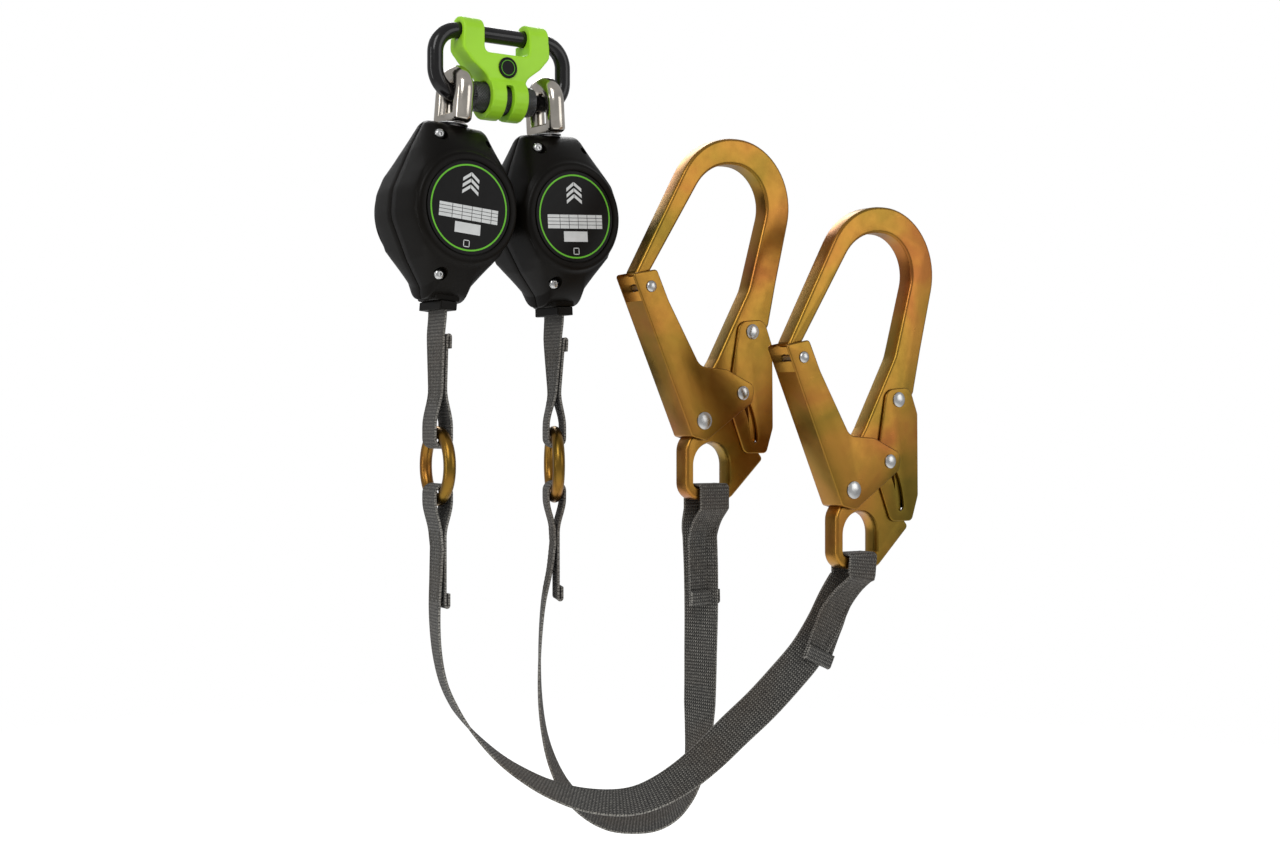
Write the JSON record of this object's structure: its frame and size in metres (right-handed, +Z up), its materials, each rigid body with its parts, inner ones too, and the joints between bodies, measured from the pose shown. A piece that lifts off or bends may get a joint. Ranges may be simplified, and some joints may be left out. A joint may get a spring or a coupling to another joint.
{
  "type": "twin-leg self-retracting lanyard",
  "caption": "Two self-retracting units under one locking connector, each with a webbing leg and a rebar snap hook for fall protection at height",
  "frame": {"origin": "middle of the connector's upper bar, where the harness strap carries it", "axes": "X along the connector's bars, -Y faces the labels, Z up"},
  "size_m": [0.3573, 0.1882, 0.5738],
  "materials": {
    "black_steel": "gloss black coating",
    "green_plastic": "satin moulded",
    "stainless": "polished",
    "black_plastic": "fine moulded grain",
    "label_print": "printed film",
    "gold_steel": "yellow dichromate over zinc",
    "web": "woven ribbed webbing",
    "zinc_steel": "bright zinc",
    "spring_steel": "blued strip"
  },
  "bodies": {
    "connector": {"carabiner_body": "black_steel", "carabiner_gate": "black_steel", "gate_pin": "zinc_steel", "spacer_bridge": "green_plastic", "bridge_badge": "label_print", "left_leg": "web", "right_leg": "web", "left_hook_body": "gold_steel", "left_gate_rivet": "zinc_steel", "left_lever_rivet": "zinc_steel", "right_hook_body": "gold_steel", "right_gate_rivet": "zinc_steel", "right_lever_rivet": "zinc_steel"},
    "sleeve": {"lock_sleeve": "black_steel"},
    "left_eye": {"left_swivel_eye": "stainless", "left_swivel_washer": "zinc_steel", "left_swivel_bolt": "zinc_steel"},
    "left_unit": {"left_housing_front": "black_plastic", "left_housing_rear": "black_plastic", "left_label_disc": "label_print", "left_screw_top": "zinc_steel", "left_screw_bottom": "zinc_steel", "left_web_nozzle": "black_plastic", "left_frame_yoke": "zinc_steel", "left_drum_axle": "zinc_steel", "left_power_spring": "spring_steel", "left_strap": "web"},
    "left_winder": {"left_drum": "zinc_steel", "left_web_roll": "web"},
    "left_ring_body": {"left_ring": "gold_steel"},
    "right_eye": {"right_swivel_eye": "stainless", "right_swivel_washer": "zinc_steel", "right_swivel_bolt": "zinc_steel"},
    "right_unit": {"right_housing_front": "black_plastic", "right_housing_rear": "black_plastic", "right_label_disc": "label_print", "right_screw_top": "zinc_steel", "right_screw_bottom": "zinc_steel", "right_web_nozzle": "black_plastic", "right_frame_yoke": "zinc_steel", "right_drum_axle": "zinc_steel", "right_power_spring": "spring_steel", "right_strap": "web"},
    "right_winder": {"right_drum": "zinc_steel", "right_web_roll": "web"},
    "right_ring_body": {"right_ring": "gold_steel"},
    "left_gate": {"left_hook_gate": "gold_steel", "left_guide_rivet": "zinc_steel", "left_tip_rivet": "zinc_steel"},
    "left_lever": {"left_lock_lever": "gold_steel"},
    "right_gate": {"right_hook_gate": "gold_steel", "right_guide_rivet": "zinc_steel", "right_tip_rivet": "zinc_steel"},
    "right_lever": {"right_lock_lever": "gold_steel"}
  },
  "joints": [
    {"name": "sleeve_twist", "type": "hinge", "parent": "connector", "child": "sleeve", "pos_m": [0, 0, -0.044], "axis": [1, 0, 0], "range_deg": [0, 90], "stiffness_Nm_per_rad": 0.02},
    {"name": "left_eye_swing", "type": "hinge", "parent": "connector", "child": "left_eye", "pos_m": [-0.0365, 0, -0.044], "axis": [1, 0, 0], "range_deg": [-12, 12], "deforming": ["left_leg"]},
    {"name": "left_swivel", "type": "hinge", "parent": "left_eye", "child": "left_unit", "pos_m": [-0.0365, 0, -0.044], "axis": [0.0872, 0, 0.9962], "range_deg": [-4, 4], "deforming": ["left_strap"]},
    {"name": "left_drum_spin", "type": "hinge", "parent": "left_unit", "child": "left_winder", "pos_m": [-0.04369, 0, -0.12619], "axis": [0, 1, 0], "continuous": true},
    {"name": "left_ring_spin", "type": "hinge", "parent": "left_eye", "child": "left_ring_body", "pos_m": [-0.0497, 0, -0.3], "axis": [0.9903, -0.1392, 0], "continuous": true},
    {"name": "right_eye_swing", "type": "hinge", "parent": "connector", "child": "right_eye", "pos_m": [0.0365, 0, -0.044], "axis": [1, 0, 0], "range_deg": [-12, 12], "deforming": ["right_leg"]},
    {"name": "right_swivel", "type": "hinge", "parent": "right_eye", "child": "right_unit", "pos_m": [0.0365, 0, -0.044], "axis": [-0.0523, 0, 0.9986], "range_deg": [-4, 4], "deforming": ["right_strap"]},
    {"name": "right_drum_spin", "type": "hinge", "parent": "right_unit", "child": "right_winder", "pos_m": [0.04082, 0, -0.12639], "axis": [0, 1, 0], "continuous": true},
    {"name": "right_ring_spin", "type": "hinge", "parent": "right_eye", "child": "right_ring_body", "pos_m": [0.0446, 0, -0.3], "axis": [0.9135, -0.4067, 0], "continuous": true},
    {"name": "left_gate_hinge", "type": "hinge", "parent": "connector", "child": "left_gate", "pos_m": [0.108, -0.083, -0.269], "axis": [0, 1, 0], "range_deg": [0, 45], "stiffness_Nm_per_rad": 0.1, "springref_deg": -17.19},
    {"name": "left_lever_hinge", "type": "hinge", "parent": "connector", "child": "left_lever", "pos_m": [0.152, -0.083, -0.206], "axis": [0, 1, 0], "range_deg": [0, 6]},
    {"name": "right_gate_hinge", "type": "hinge", "parent": "connector", "child": "right_gate", "pos_m": [0.193, -0.142, -0.317], "axis": [0, 1, 0], "range_deg": [0, 45], "stiffness_Nm_per_rad": 0.1, "springref_deg": -17.19},
    {"name": "right_lever_hinge", "type": "hinge", "parent": "connector", "child": "right_lever", "pos_m": [0.237, -0.142, -0.254], "axis": [0, 1, 0], "range_deg": [0, 6]}
  ],
  "couplings": [
    {"joint": "left_lever_hinge", "follows": "left_gate_hinge", "ratio": 0.13333},
    {"joint": "right_lever_hinge", "follows": "right_gate_hinge", "ratio": 0.13333}
  ]
}
